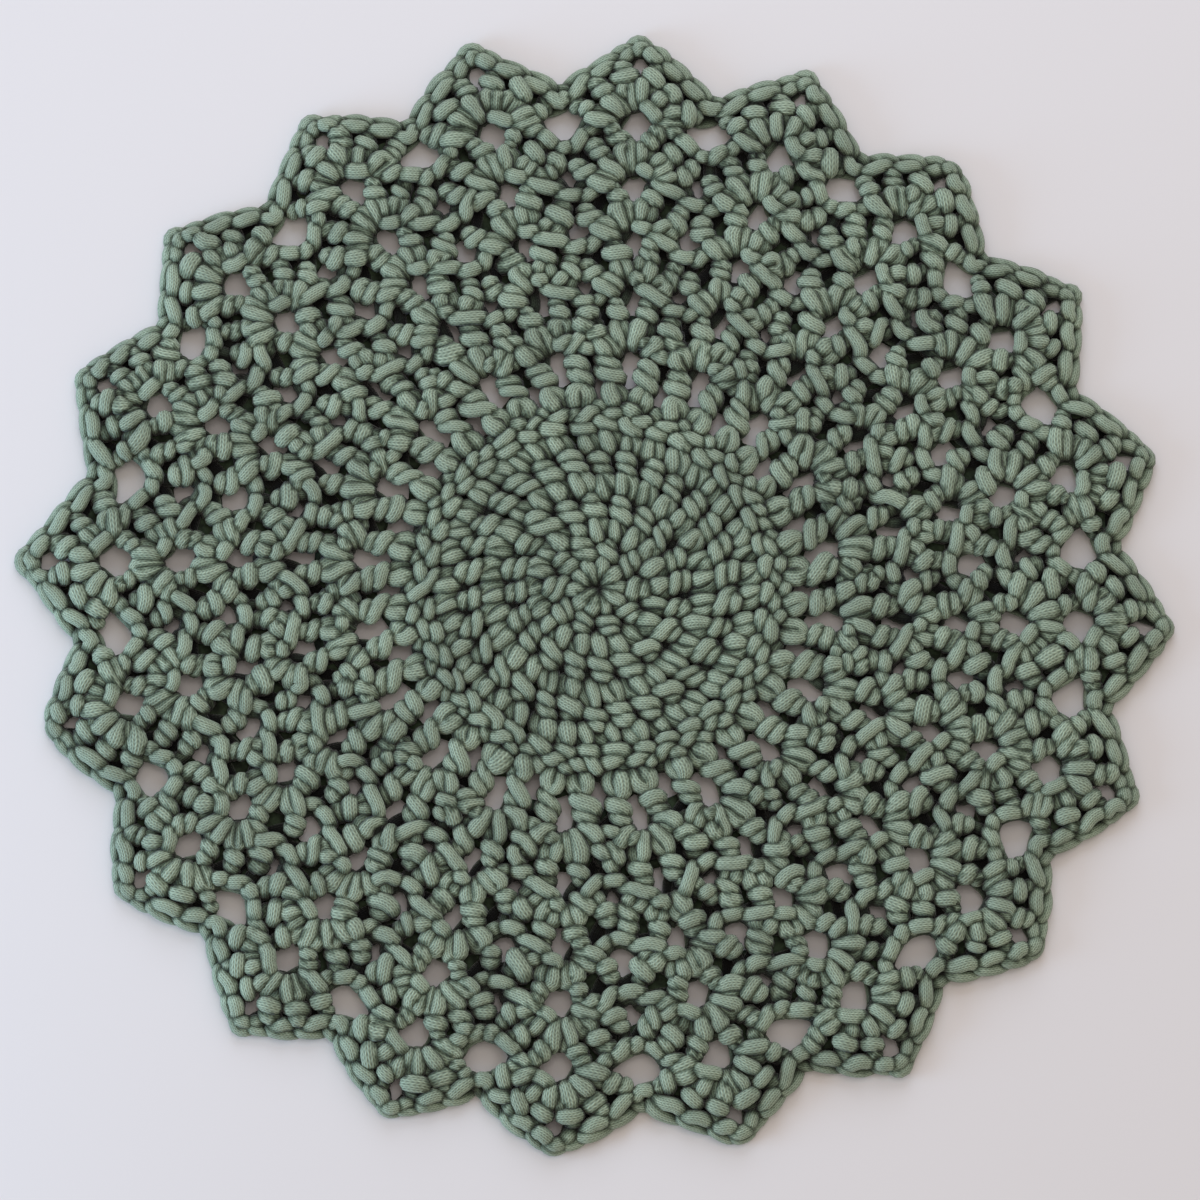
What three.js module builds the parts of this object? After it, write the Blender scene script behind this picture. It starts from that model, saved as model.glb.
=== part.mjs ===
// A round placemat crocheted from one thick cotton yarn, lying flat with its right side up.
// Solid rounds fill the middle. Rounds of fans follow, with a gap in every fan and one between
// each two fans, and the last round draws the fans out into the points of the edge.

import * as THREE from "three";

// Driving dimensions, in millimetres and degrees
const FANS = 20; // fans in a round, and points along the edge
const FAN_DEG = 360 / FANS;
const FIRST_TIP_DEG = 14; // direction of the first point, counted from +X
const TIP_REACH = 190; // mean distance of a point from the first stitch
const VALLEY_REACH = 175.5; // distance of the edge midway between two points
const SPIRAL_DEG = 10.8; // how far the middle is turned back from the points
const FADE = 8; // power that the unevenness of the points' reach fades with towards the middle
const THICKNESS = 9; // two strands of yarn
const RIM_HEIGHT = 5.6; // top of the yarn beside a gap
const EDGE_HEIGHT = 5.2; // top of the yarn along the outer edge
const GROOVE_HEIGHT = 6.6; // top of the yarn where two solid rounds meet

// Each point of the edge: degrees away from its even place, reach, and how open its gaps are
const TIPS = [
  { turn: 0, reach: 191, slack: 1.1 },
  { turn: 0.5, reach: 191, slack: 1.0 },
  { turn: 0.5, reach: 191, slack: 1.0 },
  { turn: 0, reach: 193, slack: 1.0 },
  { turn: -0.5, reach: 192, slack: 1.1 },
  { turn: -1, reach: 194, slack: 0.9 },
  { turn: -1, reach: 190, slack: 1.0 },
  { turn: -0.5, reach: 189, slack: 1.0 },
  { turn: -1, reach: 188, slack: 0.9 },
  { turn: 1, reach: 193, slack: 1.2 },
  { turn: 0.5, reach: 188, slack: 0.9 },
  { turn: 1, reach: 187, slack: 1.0 },
  { turn: 1, reach: 188, slack: 0.9 },
  { turn: 0.5, reach: 187, slack: 1.1 },
  { turn: -0.5, reach: 187, slack: 1.1 },
  { turn: 0.5, reach: 189, slack: 1.1 },
  { turn: 0, reach: 189, slack: 1.2 },
  { turn: 0, reach: 189, slack: 1.1 },
  { turn: 0, reach: 191, slack: 1.0 },
  { turn: 0, reach: 191, slack: 1.2 },
];

// Solid rounds from the middle out: outer radius, and points that draw its ring
const SOLID_ROUNDS = [
  { outer: 16.5, points: 20 },
  { outer: 31.8, points: 20 },
  { outer: 47, points: 40 },
  { outer: 62, points: 40 },
];

// Rings inside one solid round: share of its width, and height of its crown there
const CROWN = [
  { share: 0.3, height: 8.6 },
  { share: 0.75, height: THICKNESS },
];

// Open rounds from the middle out, with the gap in each fan and the gap between two fans:
// radius of the gap's centre, width around the mat, length along the radius, and its sides
const OPEN_ROUNDS = [
  {
    outer: 89.5,
    inFan: { radius: 77.6, across: 7.6, along: 8.6, sides: 8 },
    between: { radius: 68.5, across: 3.8, along: 4.4, sides: 6 },
  },
  {
    outer: 111,
    inFan: { radius: 100.5, across: 5.2, along: 6.2, sides: 6 },
    between: { radius: 102.5, across: 6.4, along: 4.6, sides: 8 },
  },
  {
    outer: 130,
    inFan: { radius: 119.7, across: 7, along: 7.4, sides: 8 },
    between: { radius: 122, across: 9, along: 6.2, sides: 8 },
  },
  {
    outer: 149.5,
    inFan: { radius: 138.4, across: 8.2, along: 9, sides: 8 },
    between: { radius: 139, across: 7, along: 4.6, sides: 8 },
  },
  {
    outer: 170,
    inFan: { radius: 159.8, across: 10, along: 9.8, sides: 8 },
    between: { radius: 160, across: 15, along: 9.6, sides: 8 },
  },
];
const TIP_GAP = { radius: 179.4, across: 4.2, along: 5.2, sides: 6 };

// The edge over one fan, from valley to valley: place in the fan, and share of the way to the tip
const EDGE_OF_FAN = [
  { place: 0.5, rise: 0 },
  { place: 0.28, rise: 0.44 },
  { place: 0.08, rise: 0.83 },
  { place: 0, rise: 1 },
  { place: -0.08, rise: 0.83 },
  { place: -0.28, rise: 0.44 },
  { place: -0.5, rise: 0 },
];

// Shares of a fan: from a point to the valley beside it, and half the width of one gap's cell
const HALF_FAN = 0.5;
const HALF_CELL = 0.25;

// Reads a column of the table of points anywhere around the mat.
function tipValue(column, fan) {
  const before = Math.floor(fan);
  const from = TIPS[before][column];
  const to = TIPS[(before + 1) % FANS][column];
  return from + (to - from) * (fan - before);
}

// A place on the mat. fan counts fans from the first point, and radius is where the round would
// lie on an even mat, before the unevenness of the points pulls it along.
function placeOnMat(fan, radius, height) {
  const turn = (fan + FANS) % FANS;
  const pull = radius / TIP_REACH;
  const stretch = 1 + (tipValue("reach", turn) / TIP_REACH - 1) * pull ** FADE;
  const spiral = -SPIRAL_DEG * (1 - pull) ** 2;
  const degrees = FIRST_TIP_DEG + turn * FAN_DEG + tipValue("turn", turn) * pull + spiral;
  const angle = THREE.MathUtils.degToRad(degrees);
  const reach = radius * stretch;
  return new THREE.Vector3(reach * Math.cos(angle), reach * Math.sin(angle), height);
}

// A ring around the whole mat, clockwise seen from above.
function ringLoop(radius, height, points) {
  const loop = [];
  for (let i = points; i > 0; i -= 1) {
    loop.push(placeOnMat((i * FANS) / points, radius, height));
  }
  return loop;
}

// The border of one cell of an open round, clockwise seen from above. inner and outer are the
// rows that the cell lies between, and middle is the radius of its sides' own points.
function cellLoop(fan, inner, outer, middle) {
  const low = fan - HALF_CELL;
  const high = fan + HALF_CELL;
  return [
    placeOnMat(low, inner.radius, inner.height),
    placeOnMat(fan, inner.radius, inner.height),
    placeOnMat(high, inner.radius, inner.height),
    placeOnMat(high, middle, THICKNESS),
    placeOnMat(high, outer.radius, outer.height),
    placeOnMat(fan, outer.radius, outer.height),
    placeOnMat(low, outer.radius, outer.height),
    placeOnMat(low, middle, THICKNESS),
  ];
}

// The border of one gap, clockwise seen from above, starting beside its cell's first corner.
function gapLoop(fan, gap) {
  const slack = tipValue("slack", (fan + FANS) % FANS);
  const arcOfFan = THREE.MathUtils.degToRad(FAN_DEG) * gap.radius;
  const loop = [];
  for (let i = 1; i <= gap.sides; i += 1) {
    const angle = Math.PI + (2 * Math.PI * i) / gap.sides;
    const sideways = (slack * gap.across * Math.cos(angle)) / 2;
    const outward = (slack * gap.along * Math.sin(angle)) / 2;
    loop.push(placeOnMat(fan + sideways / arcOfFan, gap.radius + outward, RIM_HEIGHT));
  }
  return loop;
}

// The outer edge over one fan, running back from its far valley to its near one.
function edgeOfFan(fan) {
  return EDGE_OF_FAN.map(({ place, rise }) => {
    const radius = VALLEY_REACH + (TIP_REACH - VALLEY_REACH) * rise;
    return placeOnMat(fan + place, radius, EDGE_HEIGHT);
  });
}

// The border of a point's cell: the last row from valley to valley, and the edge back again.
function tipLoop(fan, inner) {
  const loop = [];
  for (let place = -HALF_FAN; place <= HALF_FAN; place += HALF_CELL) {
    loop.push(placeOnMat(fan + place, inner.radius, inner.height));
  }
  return loop.concat(edgeOfFan(fan));
}

// The mat's skin is gathered as single triangles.
const skin = [];

function onTable(point) {
  return new THREE.Vector3(point.x, point.y, 0);
}

// The corners of a face run counter-clockwise, seen from above.
function addTop(a, b, c) {
  skin.push([a, b, c]);
}

function addUnderside(a, b, c) {
  skin.push([onTable(a), onTable(c), onTable(b)]);
}

function turnsLeft(a, b, c) {
  return (b.x - a.x) * (c.y - a.y) - (b.y - a.y) * (c.x - a.x) > 0;
}

// Fills the band between two clockwise loops that start side by side. Each step moves along the
// loop whose next point gives the shorter edge across the band.
function fillBand(outer, inner, addFace) {
  let i = 0;
  let j = 0;
  while (i < outer.length || j < inner.length) {
    const a = outer[i % outer.length];
    const b = inner[j % inner.length];
    const nextA = outer[(i + 1) % outer.length];
    const nextB = inner[(j + 1) % inner.length];
    const outerFits = i < outer.length && turnsLeft(a, b, nextA);
    const innerFits = j < inner.length && turnsLeft(a, b, nextB);
    const outerIsNearer = nextA.distanceTo(b) <= nextB.distanceTo(a);
    if (outerFits && (outerIsNearer || !innerFits)) {
      addFace(a, b, nextA);
      i += 1;
    } else {
      addFace(a, b, nextB);
      j += 1;
    }
  }
}

// The upright skin under one edge, with the yarn on the left of its way, seen from above.
function addWall(from, to) {
  skin.push([onTable(from), onTable(to), to]);
  skin.push([onTable(from), to, from]);
}

// A gap's rim inside the border of its cell, above and below, and the gap's own wall.
function addGap(border, fan, gap) {
  const rim = gapLoop(fan, gap);
  fillBand(border, rim, addTop);
  fillBand(border, rim, addUnderside);
  rim.forEach((point, i) => addWall(point, rim[(i + 1) % rim.length]));
}

// Solid rounds: a crown on each, a groove where two meet, and a plain underside
const FIRST_ROW_POINTS = FANS / HALF_CELL;

function addSolidRounds() {
  const centre = new THREE.Vector3(0, 0, GROOVE_HEIGHT);
  let inside = 0;
  let lastRing = null;
  for (const round of SOLID_ROUNDS) {
    const rings = CROWN.map(({ share, height }) => {
      return ringLoop(inside + (round.outer - inside) * share, height, round.points);
    });
    const isLast = round === SOLID_ROUNDS.at(-1);
    rings.push(ringLoop(round.outer, GROOVE_HEIGHT, isLast ? FIRST_ROW_POINTS : round.points));
    for (const ring of rings) {
      if (lastRing) {
        fillBand(ring, lastRing, addTop);
      } else {
        ring.forEach((point, i) => addTop(centre, ring[(i + 1) % ring.length], point));
      }
      lastRing = ring;
    }
    inside = round.outer;
  }
  lastRing.forEach((point, i) => {
    addUnderside(centre, lastRing[(i + 1) % lastRing.length], point);
  });
}

// Open rounds: one cell around each gap
function addOpenRounds() {
  let inner = { radius: SOLID_ROUNDS.at(-1).outer, height: GROOVE_HEIGHT };
  for (const round of OPEN_ROUNDS) {
    const outer = { radius: round.outer, height: THICKNESS };
    const middle = (round.inFan.radius + round.between.radius) / 2;
    for (let fan = 0; fan < FANS; fan += 1) {
      const midway = fan + HALF_FAN;
      addGap(cellLoop(fan, inner, outer, middle), fan, round.inFan);
      addGap(cellLoop(midway, inner, outer, middle), midway, round.between);
    }
    inner = outer;
  }
}

// The pointed edge: one cell for each point, and the outer wall
function addPoints() {
  const inner = { radius: OPEN_ROUNDS.at(-1).outer, height: THICKNESS };
  for (let fan = 0; fan < FANS; fan += 1) {
    addGap(tipLoop(fan, inner), fan, TIP_GAP);
    const edge = edgeOfFan(fan);
    for (let i = 1; i < edge.length; i += 1) {
      addWall(edge[i], edge[i - 1]);
    }
  }
}

addSolidRounds();
addOpenRounds();
addPoints();

const geometry = new THREE.BufferGeometry().setFromPoints(skin.flat());
geometry.computeVertexNormals();
geometry.computeBoundingBox();

const cotton = new THREE.MeshStandardMaterial({ color: 0x6f7f6c, roughness: 0.95, metalness: 0 });
const mat = new THREE.Mesh(geometry, cotton);
mat.name = "crochet_mat";

// The origin lies on the table, under the middle of the mat's bounding box.
const middle = geometry.boundingBox.getCenter(new THREE.Vector3());
mat.position.set(-middle.x, -middle.y, 0);

const placemat = new THREE.Group();
placemat.add(mat);

export default placemat;
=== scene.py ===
# A round crochet placemat: every strand of its cotton yarn, worked stitch by stitch in rounds.
import itertools
import math

import bmesh
import bpy
import numpy as np
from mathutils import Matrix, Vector


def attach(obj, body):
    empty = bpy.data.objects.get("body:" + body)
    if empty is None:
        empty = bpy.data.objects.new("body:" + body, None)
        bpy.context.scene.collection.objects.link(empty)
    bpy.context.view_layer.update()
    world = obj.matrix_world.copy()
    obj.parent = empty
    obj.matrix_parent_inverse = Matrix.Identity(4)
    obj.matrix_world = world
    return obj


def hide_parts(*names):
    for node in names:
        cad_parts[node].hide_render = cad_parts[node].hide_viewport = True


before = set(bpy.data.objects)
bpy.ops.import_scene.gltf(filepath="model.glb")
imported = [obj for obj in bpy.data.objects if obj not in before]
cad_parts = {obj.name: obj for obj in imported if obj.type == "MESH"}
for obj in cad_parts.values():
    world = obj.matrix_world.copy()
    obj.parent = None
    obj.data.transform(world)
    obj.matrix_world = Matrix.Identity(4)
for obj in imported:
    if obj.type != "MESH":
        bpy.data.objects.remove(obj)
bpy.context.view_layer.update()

# Lengths are in millimetres and angles in degrees, where nothing else is said
MM = 0.001
TINY = 1e-6
NODE = "crochet_mat"
SEED = 7

# The mat: its fans, the first point of its edge, the even reach of the points, how far the rounds
# spiral, and how fast the difference between the points fades towards the middle
FANS = 20
FAN_DEG = 360 / FANS
FIRST_TIP_DEG = 14
TIP_REACH = 190
SPIRAL_DEG = 10.8
FADE = 8

# Each point of the edge: degrees away from its even place, reach, and how open its gaps are
TIPS = np.array([
    (0, 191, 1.1), (0.5, 191, 1.0), (0.5, 191, 1.0), (0, 193, 1.0), (-0.5, 192, 1.1),
    (-1, 194, 0.9), (-1, 190, 1.0), (-0.5, 189, 1.0), (-1, 188, 0.9), (1, 193, 1.2),
    (0.5, 188, 0.9), (1, 187, 1.0), (1, 188, 0.9), (0.5, 187, 1.1), (-0.5, 187, 1.1),
    (0.5, 189, 1.1), (0, 189, 1.2), (0, 189, 1.1), (0, 191, 1.0), (0, 191, 1.2),
])

# How far two places lie apart that give a direction: outward, sideways and along an edge, the last
# two as shares of a fan
OUT_STEP = 5
SIDE_STEP = 0.1
EDGE_STEP = 0.06

# The strand: width, lowest height of its middle, height of the fabric's middle and the height that
# strands are pressed down to, then the samples along it and the sides of its tube
STRAND = 5.4
LOWEST = 1.8
MID_HEIGHT = 4.9
TOP_HEIGHT = 7.5
SPACING = 1.8
CURVE_STEPS = 8
SIDES = 9

# The tube's section: how flat it is, how thin it gets where it runs low, the heights between which
# it grows to its full width, and any direction that the yarn doesn't start in
FLATTENED = 0.76
THINNEST = 0.94
THIN_HEIGHT = 2.8
FULL_HEIGHT = 5.6
ASKEW = (0.3, 0.5, 0.8)

# The hand's unevenness, as the spread of random draws: tops of the posts, points of the yarn, width
# and length of the posts, turn, breadth and rise of a strand in a stitch, and the yarn's thickness,
# which is drawn again after some samples
TOP_JITTER = 0.6
POINT_JITTER = 0.32
WIDTH_JITTER = 0.1
LENGTH_JITTER = 0.035
STRAND_JITTER = (0.022, 0.1, 0.3)
UNEVEN = 0.05
UNEVEN_STEP = 6

# Solid rounds: stitches, and radius of the top edge
SOLID_ROUNDS = [
    {"stitches": 10, "top": 15.0},
    {"stitches": 20, "top": 30.3},
    {"stitches": 30, "top": 45.6},
    {"stitches": 40, "top": 60.4},
]

# Radius where the first round starts, how far outside an edge the next round starts, how far the tops
# lean along the round, and how far two stitches stand from the middle of a loop that they share, as a
# share of the way to the next loop
FIRST_RING = 3.2
BASE_GAP = 1.6
LEAN = 3.2
SHARED_SHIFT = 0.26

# Fan rounds: stitches on each side of a fan, radius of the top edge in the valley and at the peak,
# middle of the gap that the fan is worked into, radius of its base around that gap, how far its base
# spreads to each side, where its innermost and outermost stitches end, as shares of a fan, and how
# far a narrow point stands out from the peak. Then half the width of that point, as a share of a fan,
# and the chains over the middle of a fan
FAN_KEYS = ("side", "valley", "peak", "gap", "arc", "spread", "inner", "outer", "point")
FAN_ROUNDS = [dict(zip(FAN_KEYS, row)) for row in [
    (2, 97.5, 110.5, 77.6, 9.4, 60, 0.135, 0.42, 0),
    (2, 116.3, 129.8, 100.5, 8.6, 68, 0.21, 0.42, 0),
    (2, 133.9, 149.6, 119.4, 9.5, 68, 0.22, 0.42, 0),
    (3, 151.4, 171.0, 138.4, 10.2, 82, 0.225, 0.465, 0),
    (3, 169.0, 186.9, 159.8, 10.8, 78, 0.15, 0.44, 1.6),
]]
POINT_WIDTH = 0.1
CHAINS = 2

# The round of paired stitches before the fans, with the distance of a stitch from its pair's middle
V_ROUND = {
    "side": 1, "valley": 83.0, "peak": 88.6, "inner": 0.345, "outer": 0.345, "point": 0, "base_side": 3.5,
}

# Gaps: share of a fan, radius of the middle, size along the round and size outward, both as they
# show between the strands: nothing or less where the strands close a gap
GAPS = [
    (0.0, 78.4, 3.7, 4.6), (0.5, 68.8, -1.0, 0.0),
    (0.0, 103.0, -0.4, 0.8), (0.5, 102.4, 4.6, 3.0),
    (0.0, 119.6, 4.6, 5.0), (0.5, 121.6, 6.6, 4.4),
    (0.0, 138.3, 6.8, 7.4), (0.5, 138.2, 2.0, 0.5),
    (0.0, 159.8, 8.4, 8.3), (0.5, 159.4, 13.4, 8.6),
    (0.0, 180.8, 4.2, 4.8),
]

# A gap's rim: the half strand around it, as a share of STRAND, how uneven it is, the most that a
# strand is moved at once, and from how far and how strongly strands beside it are drawn to it
RIM_MARGIN = 0.44
LOBES = 0.09
MOST_PUSH = 0.6
BESIDE = 1.5
BESIDE_SHARE = 0.3

# The yarn's way through one tall stitch: share of the post, sideways towards the stitch before,
# height over the middle of the fabric, and how firmly it keeps other strands away
WRAP = [
    (0.72, 1.2, -2.0, 0.4),
    (0.78, -1.0, -1.8, 0.4),
    (0.73, -2.6, 1.2, 0.8),
    (0.65, -1.5, 2.8, 1.0),
    (0.52, 1.4, 3.0, 1.0),
    (0.46, 2.6, 1.5, 0.8),
    (0.42, 1.2, -1.6, 0.4),
    (0.20, 0.8, -2.3, 0.4),
]
LOW_LEG = [(0.08, 1.4, 1.6, 0.6), (0.20, 1.5, 2.1, 0.8), (0.33, 1.0, 1.6, 0.6), (0.44, 0.2, 0.2, 0.4)]
HIGH_LEG = [(0.47, -0.5, 0.7, 0.5), (0.35, -1.0, 2.2, 0.9), (0.23, -1.2, 2.6, 1.0), (0.10, -0.9, 2.3, 1.0)]
HIDDEN_LEG = [(0.10, 1.9, 1.5, 0.6), (0.24, 1.7, 2.1, 0.7), (0.38, 0.9, 1.9, 0.5), (0.52, -0.1, 0.6, 0.4)]
BROAD_LEG = [(0.56, -0.8, 0.8, 0.5), (0.42, -1.2, 2.2, 0.9), (0.28, -1.2, 2.8, 1.0), (0.12, -0.8, 2.4, 1.0)]
CLOSING_LOOP = [
    (0.20, -0.8, -2.4, 0.4),
    (0.45, 0.0, -1.6, 0.4),
    (0.64, 1.4, -0.4, 0.4),
    (0.77, 1.9, 1.2, 0.8),
    (0.82, 0.3, 2.5, 1.0),
    (0.85, -1.4, 2.1, 1.0),
    (0.84, -2.4, 0.4, 0.6),
    (0.76, -1.4, -1.4, 0.4),
    (0.88, -0.6, -1.2, 0.4),
]

# Kinds of stitches, of the solid, the paired and the fan rounds: sideways spread, breadth of legs,
# loops and top, where the post bends, how long the yarn's way along the post is, as a share of the
# post and millimetres more, and the way of both legs
SOLID = {
    "side": 1.42, "leg": 1.02, "loop": 0.92, "top": 0.94,
    "bend": 0.45, "length": (0.3, 12.6), "low": HIDDEN_LEG, "high": BROAD_LEG,
}
WIDE = {
    "side": 1.28, "leg": 1.08, "loop": 0.96, "top": 0.92,
    "bend": 0.45, "length": (0.3, 12.6), "low": LOW_LEG, "high": HIGH_LEG,
}
OPEN = {
    "side": 1.15, "leg": 0.98, "loop": 0.98, "top": 0.94,
    "bend": 0.55, "length": (0.5, 3.8), "low": LOW_LEG, "high": HIGH_LEG,
}

# Breadth of a strand at the middle of the fabric, more of it for each millimetre above, its limits,
# and how much a leg narrows up the post, from the share of the post where it has its own breadth
SWELL = 0.92
SWELL_RATE = 0.04
SWELL_LIMITS = (0.86, 1.04)
TAPER = 0.8
TAPER_SHARE = 0.3

# Where along the post its loops start to turn towards the edge above, and how far they do
TURN_FROM = 0.6
TURN_MOST = 0.6

# The yarn's way round the loop or the chain that a stitch is worked on: depth below its base,
# height and firmness, then how far to the side it goes in and comes out
HOOK_LOOP = [(1.3, -2.4, 0.4), (2.2, -1.0, 0.5), (0.9, 0.6, 0.7)]
HOOK_CHAIN = [(2.2, -2.4, 0.4), (3.6, 0.2, 0.8), (1.0, 2.5, 1.0)]
HOOK_IN = 1.3
HOOK_OUT = -0.7

# The loop along the top edge: share of the way to the next stitch, outward, height and firmness.
# Along the mat's rim its outer strand slants like a rope's
TOP_LOOP = [
    (-0.02, 0.0, -0.4, 0.4),
    (0.16, -0.4, 0.9, 0.8),
    (0.42, -1.0, 2.5, 1.0),
    (0.74, -1.8, 2.8, 1.0),
    (1.00, -2.5, 1.6, 0.9),
    (1.18, -1.6, -0.6, 0.4),
    (1.26, 1.4, -0.7, 0.2),
    (0.95, 2.3, -0.2, 0.2),
    (0.55, 2.4, 0.0, 0.2),
    (0.15, 2.3, -0.2, 0.2),
    (-0.14, 1.8, -0.6, 0.2),
    (0.06, -1.0, -2.2, 0.4),
]
RIM_LOOP = TOP_LOOP[:6] + [
    (1.30, 0.6, -2.2, 0.3),
    (1.02, 1.6, -2.2, 0.3),
    (0.60, 2.2, -0.8, 0.3),
    (0.18, 1.8, 0.5, 0.3),
    (-0.16, 0.6, 0.2, 0.3),
    (0.06, -1.0, -2.2, 0.4),
]

# The rim lies lower than the other edges: by how much, and between which shares of its posts
RIM_DROP = 1.3
DROP_FROM = 0.3
DROP_TO = 0.8

# Top loops of chains, and of stitches that the next round covers, are flatter and lie deeper. A chain
# starts beside its loop: to the side, inward, height, firmness and breadth
COVERED = 0.15
COVERED_FIRM = 0.3
FLAT_CHAIN = 0.5
SUNK = 0.8
CHAIN_START = (1.5, 2.2, -2.2, 0.4, 1.0)

# How the yarn settles: turns, turns from one search for neighbours to the next, distance of touching
# strands as a share of STRAND, how much farther the search reaches, and samples along one yarn that
# may lie closer
SETTLE_TURNS = 24
SEARCH_EVERY = 8
TOUCHING = 0.74
SEARCH_MARGIN = 1.6
SETTLE_STEPS = 3

# Share of each move that a turn makes: apart, out of the gaps, straight, home and down to the top
APART_SHARE = 1.1
GAP_SHARE = 0.25
STRAIGHT_SHARE = 0.22
HOME_SHARE = 0.04
PRESS_SHARE = 0.4

# Painted shade in the creases where strands touch: how far from another strand it starts, how far
# inside the other strand it ends, its tone, and samples along one yarn that make none
CREASE = 0.34
CREASE_DEPTH = 0.7
CREASE_SHADE_TONE = 0.3
CREASE_STEPS = 4

# Painted shade between strands, darkening the yarn's colour where it lies deep: depth where it is
# full, the height over which it fades, its tone and how steeply that changes, then the mean surface
# that depth counts from: cell, margin and blurs
DEEPEST = 3.05
FADE_HEIGHT = 3.1
DEEP_SHADE_TONE = 0.04
SHADE_POWER = 3.4
RELIEF_CELL = 2.0
RELIEF_MARGIN = 8
RELIEF_BLURS = 3

# The yarn's linear colour on top of a strand, the greener colour of the painted shade deep between
# strands, and its finish
SAGE = (0.268, 0.341, 0.260)
SHADED = (0.25, 0.40, 0.215)
FINISH = {"Sheen Weight": 0.15, "Sheen Roughness": 0.5, "Specular IOR Level": 0.25}

# Its knitted pattern: columns round the strand, length of a loop, slant of the loop's legs, how much
# columns and loops show, then tone and roughness from between the loops to on top of them
WALES = 10
COURSE = 1.2
LOOP_SLANT = 1.7
COLUMNS_SHOW = 0.6
LOOPS_SHOW = 0.4
WEAVE_TONE = (0.5, 1.45)
WEAVE_ROUGHNESS = (0.98, 0.84)

# Its fibres, with their steps along and around the strand and their share of the relief, its paler
# and darker patches, the part of a noise that these use, and the depth of the relief in metres
FIBRE_STEPS = (0.25, 14)
FIBRES = {"Scale": 1.6, "Detail": 3}
FIBRE_TONE = (0.84, 1.14)
FIBRE_RELIEF = 0.8
PATCHES = {"Scale": 60, "Detail": 2}
PATCH_TONE = (0.85, 1.15)
NOISE_RANGE = (0.3, 0.7)
YARN_BUMP = {"Strength": 0.5, "Distance": 0.0003}

# How much of its strip a length of yarn fills on the map for baking
STRIP_FILL = 0.94

# Sockets of the vector side of a mix node
MIX_A = 4
MIX_B = 5
MIX_RESULT = 1

# The hidden inner sheet: how far it stays inside the mat's outline, its lowest point, its share of the
# mat's thickness, the distance at which corners are one, and its lumps
INSET = (6.0, 6.0, 3.8)
INNER_LOW = 1.2
INNER_SHARE = 0.42
WELD = 0.01
# The sheet's colour is painted shade: a dark tone for the deep shade among hidden strands, varied at random
# by its lumps
LUMPS = {"Scale": 300, "Detail": 3}
LUMP_RANGE = (0.35, 0.65)
LUMP_SHADE_TONE = (0.04, 0.16)
LUMP_BUMP = {"Strength": 0.8, "Distance": 0.001}

# Floor, sky and lamps, in metres: two lamps stand low beside the mat, so that its gaps lie in soft
# shade, and one hangs far above
FLOOR = (0.74, 0.72, 0.74, 1)
FLOOR_ROUGHNESS = 0.6
FLOOR_REACH = 3
SKY = (1, 0.88, 0.775, 1)
SKY_STRENGTH = 0.6
LAMPS = [
    {"name": "window", "place": (0, 0.95, 0.75), "watts": 6.2, "size": 0.9, "colour": (0.68, 0.82, 1)},
    {"name": "left", "place": (-0.9, -0.25, 0.26), "watts": 7.2, "size": 0.5, "colour": (0.48, 0.73, 1)},
    {"name": "above", "place": (0.2, 0.3, 2.2), "watts": 5.5, "size": 1.0, "colour": (1, 0.94, 0.9)},
]

# The camera: how far it leans back from straight down, what it aims at, how far off, and its lens
CAMERA_TILT = 11.52
CAMERA_AIM = (1.9, -6.1, MID_HEIGHT)
CAMERA_AWAY = 1655
FOCAL_LENGTH = 150


def place(fan, radius):
    """A place on the mat: fan counts fans from the first point of the edge."""
    before = math.floor(fan)
    tip, following = TIPS[before % FANS], TIPS[(before + 1) % FANS]
    turn, reach, _ = tip + (following - tip) * (fan - before)
    pull = radius / TIP_REACH
    spiral = -SPIRAL_DEG * (1 - pull) ** 2
    angle = math.radians(FIRST_TIP_DEG + fan * FAN_DEG + turn * pull + spiral)
    radius = radius * (1 + (reach / TIP_REACH - 1) * pull ** FADE)
    return np.array((radius * math.cos(angle), radius * math.sin(angle)))


def unit(vector):
    return vector / np.linalg.norm(vector)


def clockwise(vector):
    return np.array((vector[1], -vector[0]))


def outward_at(fan, radius):
    """The direction away from the mat's middle, following the spiral."""
    return unit(place(fan, radius + OUT_STEP) - place(fan, radius))


def clamp(value, low, high):
    return min(max(value, low), high)


class Stitch:
    """One top loop, with a post down to its base where it is a tall stitch.

    The foot is the way in which a fan's post leaves its base. A covered loop lies under the next round.
    """

    def __init__(self, fan, base, hook, foot, covered, kind):
        self.fan = fan
        self.base = base
        self.hook = hook
        self.foot = foot
        self.covered = covered
        self.kind = kind


class Round:
    """The stitches of one round in working order, and the radius of its top edge."""

    def __init__(self, stitches, radius_at, drop=0.0):
        self.stitches = stitches
        self.radius_at = radius_at
        self.drop = drop

    def edge(self, fan):
        return place(fan, self.radius_at(fan))

    def outward(self, fan):
        return clockwise(unit(self.edge(fan + EDGE_STEP) - self.edge(fan - EDGE_STEP)))


def shared_loops(below, count):
    """Where on the round below each stitch starts, side by side where two share a loop."""
    loops = [i * below["count"] // count for i in range(count)]
    bases = []
    for i, loop in enumerate(loops):
        shift = 0.0
        if loops.count(loop) == 2:
            shift = -SHARED_SHIFT if loops.index(loop) == i else SHARED_SHIFT
        bases.append((loop + 1 + shift) * below["step"] + below["phase"])
    return bases


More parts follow.
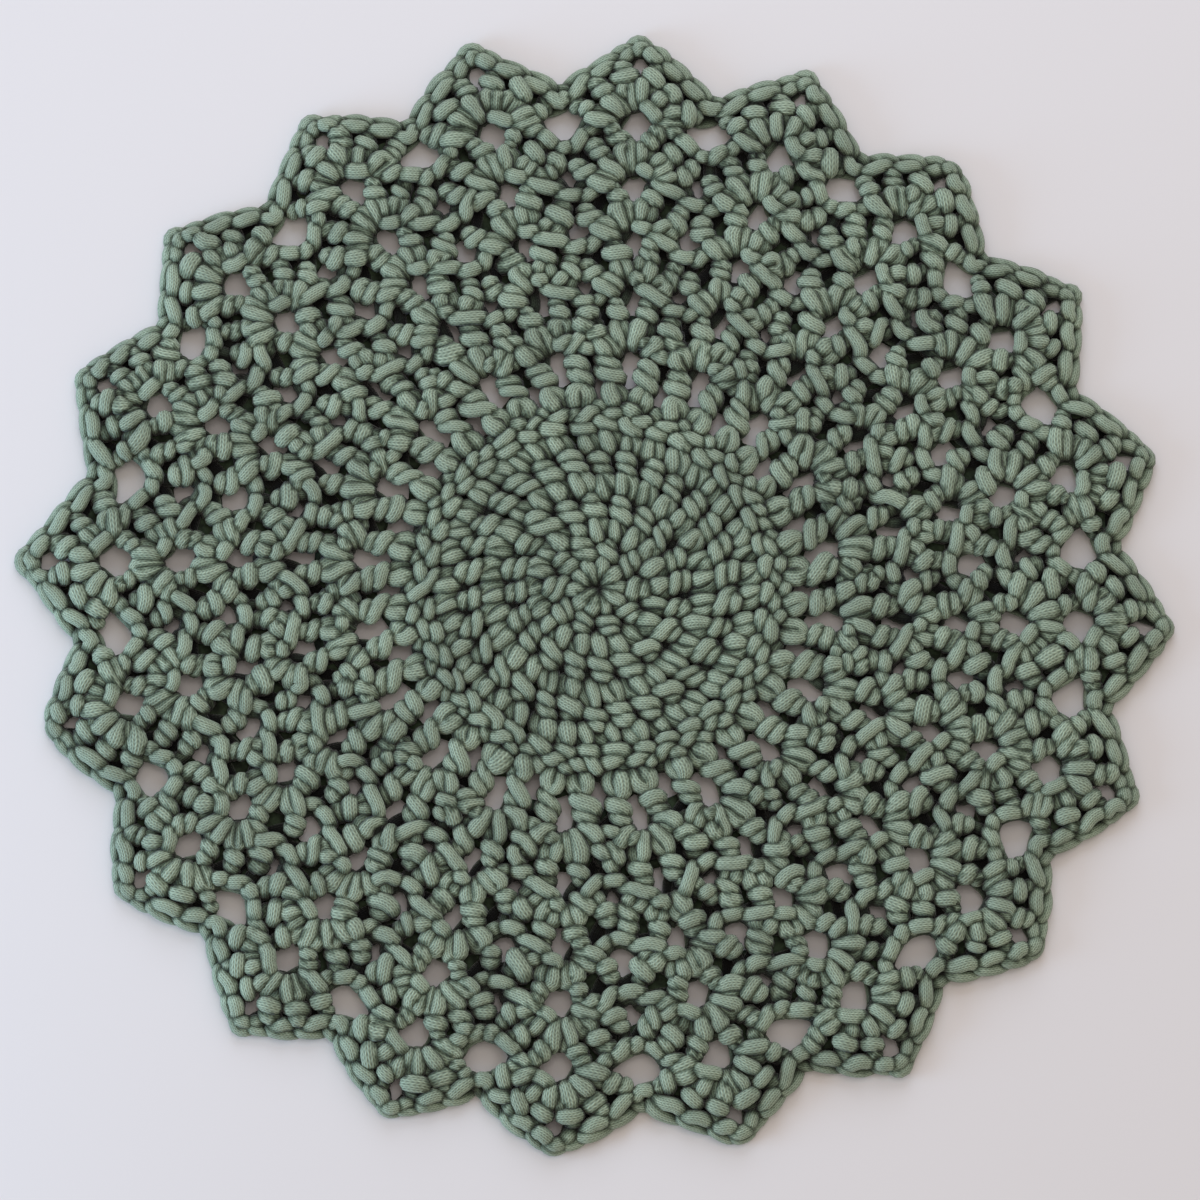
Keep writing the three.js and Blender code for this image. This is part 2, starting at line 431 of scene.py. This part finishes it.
def solid_rounds():
    """The solid middle, where each round has more stitches than the one before."""
    rounds = []
    below = None
    for row in SOLID_ROUNDS:
        count, top = row["stitches"], row["top"]
        step = FANS / count
        even = [(i + 0.5) * step for i in range(count)]
        if below is None:
            bases, base_radius, phase = even, FIRST_RING, 0.0
        else:
            bases = shared_loops(below, count)
            base_radius = below["top"] + BASE_GAP
            phase = np.mean(bases) - np.mean(even)
        lean = LEAN / top / math.radians(FAN_DEG)
        covered = row is not SOLID_ROUNDS[-1]
        stitches = []
        for fan, base in zip(even, bases):
            start = place(base, base_radius)
            stitches.append(Stitch(fan + phase + lean, start, HOOK_LOOP, None, covered, SOLID))
        rounds.append(Round(stitches, lambda fan, top=top: top))
        below = {"count": count, "step": step, "phase": phase, "top": top}
    return rounds


def zigzag(row):
    """The radius of a fan round's edge, highest at each fan's middle."""

    def radius_at(fan):
        share = abs((fan + 0.5) % 1 - 0.5)
        point = row["point"] * max(0, 1 - share / POINT_WIDTH)
        return row["peak"] + (row["valley"] - row["peak"]) * share * 2 + point

    return radius_at


def fan_shares(row):
    """Where the loops along a fan's edge start, in working order, as shares of a fan."""
    posts = np.linspace(row["outer"], row["inner"], row["side"])
    chains = np.linspace(-row["inner"], row["inner"], CHAINS + 2)[1:-1]
    return np.concatenate([-posts, chains, posts[::-1]])


def v_round():
    """The round of paired stitches, with chains between the two of a pair."""
    stitches = []
    base_radius = SOLID_ROUNDS[-1]["top"] + BASE_GAP
    for fan in range(FANS):
        middle = place(fan, base_radius)
        left = unit(place(fan + SIDE_STEP, base_radius) - middle)
        for share in fan_shares(V_ROUND):
            base = None
            if abs(share) == V_ROUND["inner"]:
                base = middle + left * V_ROUND["base_side"] * np.sign(share)
            stitches.append(Stitch(fan + share, base, HOOK_LOOP, None, base is None, WIDE))
    return Round(stitches, zigzag(V_ROUND))


def fan_round(row):
    """A round of fans, each worked into a gap of the round below, with chains over its middle."""
    side = row["side"]
    last = row is FAN_ROUNDS[-1]
    turns = np.radians(row["spread"] * np.linspace(-1, 1, 2 * side))
    stitches = []
    for fan in range(FANS):
        middle = place(fan, row["gap"])
        outward = outward_at(fan, row["gap"])
        left = -clockwise(outward)
        feet = [outward * math.cos(turn) + left * math.sin(turn) for turn in turns]
        feet[side:side] = [None] * CHAINS
        for share, foot in zip(fan_shares(row), feet):
            base = None if foot is None else middle + foot * row["arc"]
            covered = foot is None and not last
            stitches.append(Stitch(fan + share, base, HOOK_CHAIN, foot, covered, OPEN))
    return Round(stitches, zigzag(row), RIM_DROP if last else 0.0)


def round_path(work, rng):
    """The control points of one round's yarn, each with its firmness and breadth."""
    stitches = work.stitches
    loop = RIM_LOOP if work.drop else TOP_LOOP
    points = []
    for stitch, following in zip(stitches, stitches[1:] + stitches[:1]):
        step = (following.fan - stitch.fan) % FANS
        top = work.edge(stitch.fan) + rng.normal(0, TOP_JITTER, 2)
        outward = work.outward(stitch.fan)
        right = clockwise(outward)
        if stitch.base is not None:
            points += post_points(stitch, top, right, work.drop, rng)
        else:
            side, inward, height, firm, broad = CHAIN_START
            points.append((*(top + right * side - outward * inward), height, firm, broad))
        for share, out, height, firm in loop:
            fan = stitch.fan + step * share
            if stitch.covered:
                height = height * COVERED - SUNK
                firm = COVERED_FIRM
            elif stitch.base is None:
                height = height * FLAT_CHAIN - SUNK
            spot = work.edge(fan) + work.outward(fan) * out
            points.append((*spot, height - work.drop, firm, stitch.kind["top"]))
    points = np.array(points)
    points[:, :3] += rng.normal(0, POINT_JITTER, (len(points), 3))
    return points


def post_points(stitch, top, right_at_top, drop, rng):
    """One tall stitch: its wrap, its two legs round the work below, and the loop that closes it."""
    base = stitch.base
    kind = stitch.kind
    width = kind["side"] * rng.normal(1, WIDTH_JITTER)
    height = np.linalg.norm(top - base)
    foot = unit(top - base) if stitch.foot is None else stitch.foot
    bend = base + foot * height * kind["bend"]
    length_share, length_more = kind["length"]
    stretch = (length_share + length_more / height) * rng.normal(1, LENGTH_JITTER)

    def spot(row, part, turn, full, raised):
        share, side, rise, firm = row
        broad = kind[part] * full * clamp(SWELL + SWELL_RATE * rise, *SWELL_LIMITS)
        if part == "leg":
            broad *= 1 + (TAPER_SHARE - share) * TAPER
        share += side * turn
        rise += raised
        rise -= drop * clamp((share - DROP_FROM) / (DROP_TO - DROP_FROM), 0, 1)
        share *= stretch
        up = unit((bend - base) * (1 - share) + (top - bend) * share)
        mix = clamp((share - TURN_FROM) / (1 - TURN_FROM), 0, 1) * TURN_MOST
        sideways = unit(clockwise(up) * (1 - mix) + right_at_top * mix)
        axis = base * (1 - share) ** 2 + bend * 2 * share * (1 - share) + top * share ** 2
        return (*(axis + sideways * side * width), rise, firm, broad)

    def strand(rows, part):
        turn, full, raised = rng.normal((0, 1, 0), STRAND_JITTER)
        return [spot(row, part, turn, full, raised) for row in rows]

    def hook(rows, side):
        sideways = clockwise(foot) * side * width
        points = []
        for depth, rise, firm in rows:
            points.append((*(base - foot * depth + sideways), rise, firm, kind["top"]))
        return points

    points = strand(WRAP, "loop")
    points += hook(stitch.hook, HOOK_IN)
    points += strand(kind["low"], "leg")
    points += strand(kind["high"], "leg")
    points += hook(stitch.hook[::-1], HOOK_OUT)
    points += strand(CLOSING_LOOP, "loop")
    return points


def smooth_path(points):
    """A closed smooth curve through the points, with evenly spaced samples."""
    p0, p1 = np.roll(points, 1, axis=0), points
    p2, p3 = np.roll(points, -1, axis=0), np.roll(points, -2, axis=0)

    def knot(a, b):
        return np.sqrt(np.linalg.norm((b - a)[:, :3], axis=1))[:, None] + TINY

    t1 = knot(p0, p1)
    t2 = t1 + knot(p1, p2)
    t3 = t2 + knot(p2, p3)
    samples = []
    for step in range(CURVE_STEPS):
        t = t1 + (t2 - t1) * step / CURVE_STEPS
        a1 = p0 + (p1 - p0) * t / t1
        a2 = p1 + (p2 - p1) * (t - t1) / (t2 - t1)
        a3 = p2 + (p3 - p2) * (t - t2) / (t3 - t2)
        b1 = a1 + (a2 - a1) * t / t2
        b2 = a2 + (a3 - a2) * (t - t1) / (t3 - t1)
        samples.append(b1 + (b2 - b1) * (t - t1) / (t2 - t1))
    fine = np.stack(samples, axis=1).reshape(-1, points.shape[1])
    closed = np.vstack([fine, fine[:1]])
    steps = np.linalg.norm(np.diff(closed[:, :3], axis=0), axis=1)
    length = np.concatenate([[0], np.cumsum(steps)])
    count = int(round(length[-1] / SPACING))
    at = np.linspace(0, length[-1], count, endpoint=False)
    return np.stack([np.interp(at, length, column) for column in closed.T], axis=1)


def close_pairs(points, reach):
    """Pairs of points nearer than reach, found by sorting them into cells."""
    cells = np.floor(points / reach).astype(np.int64)
    cells -= cells.min(axis=0) - 1
    span = cells.max(axis=0) + 2
    key = (cells[:, 0] * span[1] + cells[:, 1]) * span[2] + cells[:, 2]
    order = np.argsort(key, kind="stable")
    ordered = key[order]
    firsts, seconds = [], []
    # A pair in two cells is found from the first of them, so half of the neighbours are enough
    for x, y, z in itertools.product((-1, 0, 1), repeat=3):
        shift = (x * span[1] + y) * span[2] + z
        if shift < 0:
            continue
        low = np.searchsorted(ordered, key + shift, "left")
        high = np.searchsorted(ordered, key + shift, "right")
        count = high - low
        first = np.repeat(np.arange(len(points)), count)
        start = np.repeat(low - np.cumsum(count) + count, count)
        second = order[start + np.arange(count.sum())]
        near = np.sum((points[first] - points[second]) ** 2, axis=1) < reach * reach
        if shift == 0:
            near &= first < second
        firsts.append(first[near])
        seconds.append(second[near])
    return np.concatenate(firsts), np.concatenate(seconds)


class Yarns:
    """The samples of all paths in one row, each with its neighbours along its own closed path."""

    def __init__(self, paths):
        counts = np.array([len(path) for path in paths])
        ends = np.cumsum(counts)
        first = np.repeat(ends - counts, counts)
        self.path = np.repeat(np.arange(len(paths)), counts)
        self.total = np.repeat(counts, counts)
        self.along = np.concatenate([np.arange(count) for count in counts])
        self.before = first + (self.along - 1) % self.total
        self.after = first + (self.along + 1) % self.total
        self.parts = ends[:-1]

    def pairs(self, points, reach, steps):
        """Pairs of samples nearer than reach, leaving out those within some steps along one path."""
        a, b = close_pairs(points, reach)
        between = np.abs(self.along[a] - self.along[b])
        between = np.minimum(between, self.total[a] - between)
        apart = (self.path[a] != self.path[b]) | (between > steps)
        return a[apart], b[apart]

    def split(self, values):
        return np.split(values, self.parts)


class Openings:
    """The mat's gaps: strands are pushed out of them, and strands beside them drawn to their rims."""

    def __init__(self, centre, points):
        rows = []
        for fan in range(FANS):
            here, following = TIPS[fan, 2], TIPS[(fan + 1) % FANS, 2]
            for share, radius, along, across in GAPS:
                slack = here if share == 0 else (here + following) / 2
                middle = place(fan + share, radius) - centre
                outward = outward_at(fan + share, radius)
                rows.append((*middle, *outward, along * slack / 2, across * slack / 2))
        rows = np.array(rows)
        turns = np.random.default_rng(SEED).uniform(0, 2 * math.pi, (len(rows), 2))
        nearest = np.zeros(len(points), int)
        least = np.full(len(points), np.inf)
        for number, row in enumerate(rows):
            distance = np.hypot(points[:, 0] - row[0], points[:, 1] - row[1]) - row[4:].max()
            closer = distance < least
            nearest[closer] = number
            least[closer] = distance[closer]
        gap = rows[nearest]
        self.middle = gap[:, :2]
        self.outward = gap[:, 2:4]
        self.half = gap[:, 4:] + STRAND * RIM_MARGIN
        self.turn = turns[nearest]

    def push(self, points, share):
        """Moves the points by a share of their way to the rim of the gap nearest to their start."""
        away = points[:, :2] - self.middle
        right = np.stack([self.outward[:, 1], -self.outward[:, 0]], axis=1)
        along = np.sum(away * right, axis=1) / self.half[:, 0]
        across = np.sum(away * self.outward, axis=1) / self.half[:, 1]
        angle = np.arctan2(across, along)
        lobes = np.cos(2 * angle + self.turn[:, 0]) + np.cos(3 * angle + self.turn[:, 1])
        depth = np.hypot(along, across) / (1 + LOBES * lobes) + TINY
        to_rim = 1 / depth - 1
        beside = (depth > 1) & (depth < BESIDE)
        move = np.where(beside, to_rim * share * BESIDE_SHARE, np.clip(to_rim, 0, MOST_PUSH) * share)
        points[:, :2] += right * (along * move * self.half[:, 0])[:, None]
        points[:, :2] += self.outward * (across * move * self.half[:, 1])[:, None]


def settle(paths, centre):
    """Pushes crowded strands apart and out of the gaps, and lays the yarn on the table."""
    points = np.vstack(paths)
    firm = np.sqrt(points[:, 3] * points[:, 4])
    points = points[:, :3].copy()
    home = points.copy()
    yarns = Yarns(paths)
    openings = Openings(centre, points)
    contact = STRAND * TOUCHING
    size = len(points)
    for turn in range(SETTLE_TURNS):
        if turn % SEARCH_EVERY == 0:
            a, b = yarns.pairs(points, contact + SEARCH_MARGIN, SETTLE_STEPS)
        delta = points[b] - points[a]
        distance = np.linalg.norm(delta, axis=1) + TINY
        overlap = np.clip(contact * firm[a] * firm[b] - distance, 0, None)
        push = delta * (overlap / distance / 2)[:, None]
        touches = overlap > 0
        number = np.bincount(a[touches], minlength=size) + np.bincount(b[touches], minlength=size)
        move = np.stack(
            [np.bincount(b, push[:, k], size) - np.bincount(a, push[:, k], size) for k in range(3)],
            axis=1,
        )
        points += move / np.maximum(number, 1)[:, None] * APART_SHARE
        openings.push(points, GAP_SHARE)
        bend = (points[yarns.before] + points[yarns.after]) / 2 - points
        points += bend * STRAIGHT_SHARE
        points += (home - points) * HOME_SHARE
        points[:, 2] = np.maximum(points[:, 2], LOWEST)
        points[:, 2] -= np.clip(points[:, 2] - TOP_HEIGHT, 0, None) * PRESS_SHARE
    return yarns.split(points)


def uneven(count, rng):
    """How much thicker or thinner the yarn is at each sample of a closed path."""
    knots = rng.normal(1, UNEVEN, count // UNEVEN_STEP + 2)
    knots[-2:] = knots[0]
    return np.interp(np.arange(count) / UNEVEN_STEP, np.arange(len(knots)), knots)


def sweep(path, breadth):
    """Vertices of a tube around a closed path, one ring for each sample, thinner where it runs low."""
    high = np.clip((path[:, 2] - THIN_HEIGHT) / (FULL_HEIGHT - THIN_HEIGHT), 0, 1)
    radius = STRAND / 2 * (THINNEST + (1 - THINNEST) * high)
    ahead = np.roll(path, -1, axis=0) - np.roll(path, 1, axis=0)
    tangents = ahead / np.linalg.norm(ahead, axis=1)[:, None]
    normal = np.cross(tangents[0], ASKEW)
    normals = np.empty_like(path)
    for i, tangent in enumerate(tangents):
        normal = normal - tangent * np.dot(normal, tangent)
        normal = normal / math.sqrt(np.dot(normal, normal))
        normals[i] = normal
    sideways = np.cross(tangents, normals)
    angles = np.arange(SIDES) * 2 * math.pi / SIDES
    ring = normals[:, None] * np.cos(angles)[:, None] + sideways[:, None] * np.sin(angles)[:, None]
    ring = ring * radius[:, None, None]
    ring[:, :, :2] *= breadth[:, None, None]
    ring[:, :, 2] *= FLATTENED
    return path[:, None] + ring


class Relief:
    """The mean height of the yarn's upper and lower side around each place on the mat."""

    def __init__(self, vertices):
        self.low = vertices[:, :2].min(axis=0) - RELIEF_MARGIN
        high = vertices[:, :2].max(axis=0) + RELIEF_MARGIN
        size = np.ceil((high - self.low) / RELIEF_CELL).astype(int)
        cells = tuple(((vertices[:, :2] - self.low) / RELIEF_CELL).astype(int).T)
        self.upper = np.zeros(size)
        np.maximum.at(self.upper, cells, vertices[:, 2])
        self.lower = np.full(size, MID_HEIGHT * 2)
        np.minimum.at(self.lower, cells, vertices[:, 2])
        for _ in range(RELIEF_BLURS):
            self.upper = self.blurred(self.upper)
            self.lower = self.blurred(self.lower)

    @staticmethod
    def blurred(grid):
        for axis in (0, 1):
            grid = (np.roll(grid, 1, axis) + grid + np.roll(grid, -1, axis)) / 3
        return grid

    def at(self, grid, places):
        """The height of one side at some places, blended between the cells around each."""
        spot = (places - self.low) / RELIEF_CELL - 0.5
        cell = np.floor(spot).astype(int)
        across, along = (spot - cell).T
        i, j = cell.T
        near = grid[i, j] * (1 - along) + grid[i, j + 1] * along
        far = grid[i + 1, j] * (1 - along) + grid[i + 1, j + 1] * along
        return near * (1 - across) + far * across

    def exposure(self, vertices):
        """Painted light for the yarn's colour: 0 deep between strands, in full painted shade, to 1 on top
        of them, seen from the nearer side.
        """
        above = vertices[:, 2] - self.at(self.upper, vertices[:, :2])
        below = self.at(self.lower, vertices[:, :2]) - vertices[:, 2]
        return np.clip((np.maximum(above, below) + DEEPEST) / FADE_HEIGHT, 0, 1)


def creases(paths, tubes):
    """For each ring, how near its vertices come to another strand: 0 inside it to 1 clear of it, which sets
    the painted shade in creases.
    """
    points = np.vstack(paths)
    rings = np.concatenate(tubes)
    radius = np.linalg.norm(rings - points[:, None], axis=2).mean(axis=1)
    yarns = Yarns(paths)
    a, b = yarns.pairs(points, STRAND + CREASE, CREASE_STEPS)
    clear = np.full(rings.shape[:2], CREASE)
    for near, other in ((a, b), (b, a)):
        gap = np.linalg.norm(rings[near] - points[other][:, None], axis=2) - radius[other][:, None]
        for side in range(SIDES):
            np.minimum.at(clear[:, side], near, gap[:, side])
    share = np.clip((clear + CREASE_DEPTH) / (CREASE + CREASE_DEPTH), 0, 1)
    return yarns.split(share)


def four_sided(name, vertices, faces):
    """A smooth mesh of faces with four corners."""
    mesh = bpy.data.meshes.new(name)
    mesh.vertices.add(len(vertices))
    mesh.vertices.foreach_set("co", (vertices * MM).ravel())
    mesh.loops.add(faces.size)
    mesh.loops.foreach_set("vertex_index", faces.ravel())
    mesh.polygons.add(len(faces))
    mesh.polygons.foreach_set("loop_start", np.arange(len(faces)) * 4)
    mesh.update(calc_edges=True)
    mesh.polygons.foreach_set("use_smooth", np.ones(len(faces), bool))
    return mesh


def tube_piece(name, tubes, crease_shading, relief):
    """One piece of closed tubes, with the yarn's own map, a map for baking and the painted light and shade
    of its colour.
    """
    vertices, faces, yarn, strips = [], [], [], []
    start = 0
    rows_before = 0
    # The map for baking lays the yarn out in strips, one over the other, that fill about a square
    length = sum(len(rings) for rings in tubes) * SPACING
    per_row = int(math.ceil(math.sqrt(length * math.pi * STRAND) / SPACING))
    for rings in tubes:
        n = len(rings)
        vertices.append(rings.reshape(-1, 3))
        i = np.arange(n)[:, None]
        j = np.arange(SIDES)[None]
        a = i * SIDES + j
        b = i * SIDES + (j + 1) % SIDES
        c = (i + 1) % n * SIDES + (j + 1) % SIDES
        d = (i + 1) % n * SIDES + j
        faces.append(np.stack([a, b, c, d], axis=-1).reshape(-1, 4) + start)
        start += n * SIDES
        i, j = np.broadcast_arrays(i, j)
        along = np.stack([i, i, i + 1, i + 1], axis=-1).reshape(-1)
        around = np.stack([j, j + 1, j + 1, j], axis=-1).reshape(-1) / SIDES
        yarn.append(np.stack([along * SPACING, around], axis=1))
        row = np.repeat(i.reshape(-1) // per_row, 4)
        across = (along - row * per_row) / per_row
        up = row + rows_before + around * STRIP_FILL
        strips.append(np.stack([across, up], axis=1))
        rows_before += int(row.max()) + 1
    vertices = np.vstack(vertices)
    strips = np.vstack(strips)
    strips[:, 1] /= rows_before
    mesh = four_sided(name, vertices, np.vstack(faces))
    for map_name, places in (("yarn", np.vstack(yarn)), ("OFBake", strips)):
        layer = mesh.uv_layers.new(name=map_name)
        layer.data.foreach_set("uv", places.ravel())
    # Painted shade: each vertex keeps the painted light of its colour, low deep between strands and lower
    # still in creases where strands touch
    shade = mesh.attributes.new("exposure", "FLOAT", "POINT")
    painted_crease_shade = np.concatenate([share.reshape(-1) for share in crease_shading])
    shade.data.foreach_set("value", relief.exposure(vertices) * (CREASE_SHADE_TONE + (1 - CREASE_SHADE_TONE) * painted_crease_shade))
    piece = bpy.data.objects.new(name, mesh)
    bpy.context.collection.objects.link(piece)
    return piece


class Nodes:
    """Short ways to add and join a material's nodes."""

    def __init__(self, material):
        material.use_nodes = True
        self.tree = material.node_tree
        self.shader = self.tree.nodes["Principled BSDF"]

    def add(self, kind, inputs=(), **settings):
        node = self.tree.nodes.new(kind)
        for key, value in settings.items():
            setattr(node, key, value)
        for key, value in dict(inputs).items():
            self.feed(node.inputs[key], value)
        return node

    def feed(self, socket, value):
        if isinstance(value, bpy.types.NodeSocket):
            self.tree.links.new(value, socket)
        else:
            socket.default_value = value

    def math(self, operation, a, b=0.0, c=0.0):
        node = self.add("ShaderNodeMath", {0: a, 1: b, 2: c}, operation=operation)
        return node.outputs[0]

    def noise(self, where, settings):
        node = self.add("ShaderNodeTexNoise", {"Vector": where, **settings})
        return node.outputs["Fac"]

    def spread(self, value, low, high, to_low, to_high):
        inputs = {"Value": value, 1: low, 2: high, 3: to_low, 4: to_high}
        return self.add("ShaderNodeMapRange", inputs).outputs[0]

    def tinted(self, colour, tone):
        """The shader's base colour, as a colour times a tone."""
        node = self.add("ShaderNodeVectorMath", {0: colour, "Scale": tone}, operation="SCALE")
        self.feed(self.shader.inputs["Base Color"], node.outputs[0])

    def bumpy(self, height, settings):
        node = self.add("ShaderNodeBump", {"Height": height, **settings})
        self.feed(self.shader.inputs["Normal"], node.outputs[0])


def cotton():
    """Knitted-tube cotton: fine slanted loops along the strand, with painted light and shade: paler on top
    and dark between strands.
    """
    material = bpy.data.materials.new("cotton_yarn")
    nodes = Nodes(material)
    maps = nodes.add("ShaderNodeUVMap", uv_map="yarn")
    parts = nodes.add("ShaderNodeSeparateXYZ", {0: maps.outputs[0]})
    along, around = parts.outputs[0], parts.outputs[1]

    # A column has two legs, each a quarter of its width away from its middle, and loops slant along them
    wale = nodes.math("FRACT", nodes.math("MULTIPLY", around, WALES))
    off = nodes.math("ABSOLUTE", nodes.math("SUBTRACT", wale, 0.5))
    column = nodes.math("COSINE", nodes.math("MULTIPLY", nodes.math("SUBTRACT", off, 0.25), 4 * math.pi))
    course = nodes.math("MULTIPLY_ADD", off, LOOP_SLANT, nodes.math("DIVIDE", along, COURSE))
    loop = nodes.math("SINE", nodes.math("MULTIPLY", course, 2 * math.pi))
    columns = nodes.math("MULTIPLY", column, COLUMNS_SHOW)
    loops = nodes.math("MULTIPLY", loop, LOOPS_SHOW)
    weave = nodes.math("ADD", columns, loops)

    steps = [nodes.math("MULTIPLY", way, step) for way, step in zip((along, around), FIBRE_STEPS)]
    stretched = nodes.add("ShaderNodeCombineXYZ", dict(enumerate(steps)))
    fibres = nodes.noise(stretched.outputs[0], FIBRES)
    patches = nodes.noise(nodes.add("ShaderNodeTexCoord").outputs["Object"], PATCHES)

    # Painted shade: the stored painted light darkens the colour deep between strands and in creases, and
    # turns it towards the greener SHADED
    exposure = nodes.add("ShaderNodeAttribute", attribute_name="exposure").outputs["Fac"]
    tones = [
        nodes.spread(weave, -1, 1, *WEAVE_TONE),
        nodes.spread(fibres, *NOISE_RANGE, *FIBRE_TONE),
        nodes.spread(patches, *NOISE_RANGE, *PATCH_TONE),
        nodes.math("POWER", nodes.spread(exposure, 0, 1, DEEP_SHADE_TONE, 1), SHADE_POWER),
    ]
    tone = tones[0]
    for other in tones[1:]:
        tone = nodes.math("MULTIPLY", tone, other)
    hue = nodes.add("ShaderNodeMix", {0: exposure, MIX_A: SHADED, MIX_B: SAGE}, data_type="VECTOR")
    nodes.tinted(hue.outputs[MIX_RESULT], tone)

    height = nodes.math("ADD", weave, nodes.math("MULTIPLY", fibres, FIBRE_RELIEF))
    nodes.bumpy(height, YARN_BUMP)
    nodes.feed(nodes.shader.inputs["Roughness"], nodes.spread(weave, -1, 1, *WEAVE_ROUGHNESS))
    for socket, value in FINISH.items():
        nodes.shader.inputs[socket].default_value = value
    return material


def hidden_cotton_painted_shade():
    """Yarn deep in the mat, painted dark as the shade there, where little light comes: dull and lumpy."""
    material = bpy.data.materials.new("inner_yarn_painted_shade")
    nodes = Nodes(material)
    lumps = nodes.noise(nodes.add("ShaderNodeTexCoord").outputs["Object"], LUMPS)
    nodes.tinted(SHADED, nodes.spread(lumps, *LUMP_RANGE, *LUMP_SHADE_TONE))
    nodes.bumpy(lumps, LUMP_BUMP)
    nodes.shader.inputs["Roughness"].default_value = 1.0
    return material


def inner_sheet():
    """The strands hidden under the others, as one thin sheet with the mat's outline and gaps, painted dark
    as the shade among them.
    """
    shape = bmesh.new()
    shape.from_mesh(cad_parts[NODE].data)
    bmesh.ops.remove_doubles(shape, verts=shape.verts, dist=WELD * MM)
    bmesh.ops.recalc_face_normals(shape, faces=shape.faces)
    shape.normal_update()
    moves = [(vertex, vertex.normal.copy()) for vertex in shape.verts]
    for vertex, normal in moves:
        vertex.co -= normal * Vector(INSET) * MM
        vertex.co.z = INNER_LOW * MM + vertex.co.z * INNER_SHARE
    mesh = bpy.data.meshes.new("inner_yarn_painted_shade")
    shape.to_mesh(mesh)
    shape.free()
    mesh.polygons.foreach_set("use_smooth", np.ones(len(mesh.polygons), bool))
    mesh.materials.append(hidden_cotton_painted_shade())
    sheet = bpy.data.objects.new("inner_yarn_painted_shade", mesh)
    bpy.context.collection.objects.link(sheet)
    return sheet


def yarn_tubes():
    """The path and the tube of each round's yarn, from the middle outward."""
    rng = np.random.default_rng(SEED)
    tips = np.array([place(fan, TIP_REACH) for fan in range(FANS)])
    centre = (tips.min(axis=0) + tips.max(axis=0)) / 2
    paths = []
    for work in solid_rounds() + [v_round()] + [fan_round(row) for row in FAN_ROUNDS]:
        path = smooth_path(round_path(work, rng))
        path[:, :2] -= centre
        path[:, 2] += MID_HEIGHT
        paths.append(path)
    breadths = [path[:, 4] * uneven(len(path), rng) for path in paths]
    paths = settle(paths, centre)
    return paths, [sweep(path, breadth) for path, breadth in zip(paths, breadths)]


def build_mat():
    """The mat's pieces: the solid middle, each open round, and the sheet of hidden yarn."""
    paths, tubes = yarn_tubes()
    relief = Relief(np.vstack([rings.reshape(-1, 3) for rings in tubes]))
    crease_shading = creases(paths, tubes)
    solid = len(SOLID_ROUNDS)
    groups = {"middle_rounds": slice(0, solid)}
    for number in range(solid, len(paths)):
        groups[f"round_{number + 1}"] = slice(number, number + 1)
    material = cotton()
    for name, group in groups.items():
        piece = tube_piece(name, tubes[group], crease_shading[group], relief)
        piece.data.materials.append(material)
        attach(piece, "root")
        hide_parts(NODE)
    inner = inner_sheet()
    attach(inner, "root")
    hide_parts(NODE)


def studio():
    """A pale floor, a soft sky and the lamps."""
    scene = bpy.context.scene
    scene.view_settings.view_transform = "Standard"
    mesh = bpy.data.meshes.new("floor")
    corners = [(x * FLOOR_REACH, y * FLOOR_REACH, 0) for x, y in ((-1, -1), (1, -1), (1, 1), (-1, 1))]
    mesh.from_pydata(corners, [], [(0, 1, 2, 3)])
    floor = bpy.data.objects.new("floor", mesh)
    bpy.context.collection.objects.link(floor)
    pale = bpy.data.materials.new("floor")
    shader = Nodes(pale).shader
    shader.inputs["Base Color"].default_value = FLOOR
    shader.inputs["Roughness"].default_value = FLOOR_ROUGHNESS
    mesh.materials.append(pale)
    world = bpy.data.worlds.new("studio")
    scene.world = world
    world.use_nodes = True
    sky = world.node_tree.nodes["Background"]
    sky.inputs["Color"].default_value = SKY
    sky.inputs["Strength"].default_value = SKY_STRENGTH
    for row in LAMPS:
        light = bpy.data.lights.new(row["name"], "AREA")
        light.energy = row["watts"]
        light.size = row["size"]
        light.color = row["colour"]
        lamp = bpy.data.objects.new(row["name"], light)
        lamp.location = row["place"]
        lamp.rotation_euler = (-Vector(row["place"])).to_track_quat("-Z", "Y").to_euler()
        bpy.context.collection.objects.link(lamp)


def camera():
    """Looks down on the mat, leaning back a little."""
    tilt = math.radians(CAMERA_TILT)
    lens = bpy.data.cameras.new("camera")
    lens.lens = FOCAL_LENGTH
    eye = bpy.data.objects.new("camera", lens)
    back = np.array((0, -math.sin(tilt), math.cos(tilt)))
    eye.location = np.array(CAMERA_AIM) * MM + back * (CAMERA_AWAY * MM)
    eye.rotation_euler = (tilt, 0, 0)
    bpy.context.collection.objects.link(eye)
    bpy.context.scene.camera = eye


camera()
studio()
build_mat()
